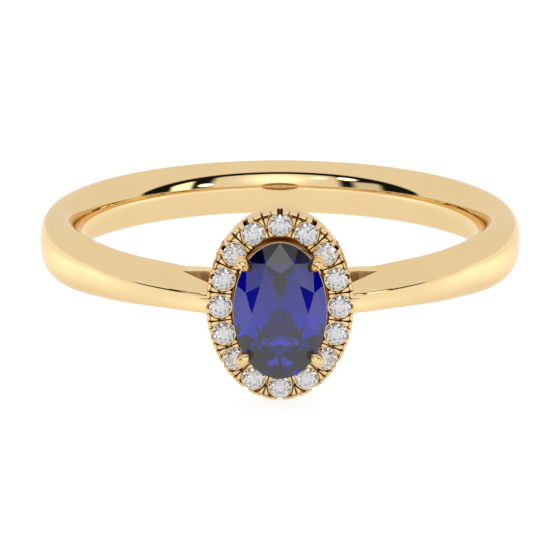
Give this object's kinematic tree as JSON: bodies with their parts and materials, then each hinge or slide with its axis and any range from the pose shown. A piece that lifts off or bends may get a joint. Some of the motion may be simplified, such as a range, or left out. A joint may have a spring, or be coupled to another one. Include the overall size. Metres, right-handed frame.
{
  "type": "engagement ring",
  "caption": "Gold engagement ring with an oval blue stone in claws, a halo of small clear stones, pinched cathedral shoulders and a rounded band.",
  "frame": {"origin": "centre of the finger hole, halfway across the band's width", "axes": "+Z along the finger hole, +Y from the head to the back of the band, +X across the shoulders; the head faces -Y"},
  "size_m": [0.0216, 0.0242, 0.0084],
  "materials": {
    "band_gold": "mirror-polished yellow gold",
    "setting_gold": "bright-cut and polished yellow gold",
    "sapphire": "faceted and polished blue stone, refractive index 1.77",
    "diamond": "faceted and polished clear stone, refractive index 2.42"
  },
  "bodies": {
    "root": {"shank": "band_gold", "finger_rail": "band_gold", "base_rail": "setting_gold", "centre_collet": "setting_gold", "halo_plate": "setting_gold", "claw_1": "setting_gold", "claw_2": "setting_gold", "claw_3": "setting_gold", "claw_4": "setting_gold", "centre_sapphire": "sapphire", "halo_diamond_1": "diamond", "halo_diamond_2": "diamond", "halo_diamond_3": "diamond", "halo_diamond_4": "diamond", "halo_diamond_5": "diamond", "halo_diamond_6": "diamond", "halo_diamond_7": "diamond", "halo_diamond_8": "diamond", "halo_diamond_9": "diamond", "halo_diamond_10": "diamond", "halo_diamond_11": "diamond", "halo_diamond_12": "diamond", "halo_diamond_13": "diamond", "halo_diamond_14": "diamond", "halo_diamond_15": "diamond", "halo_diamond_16": "diamond"}
  },
  "joints": []
}
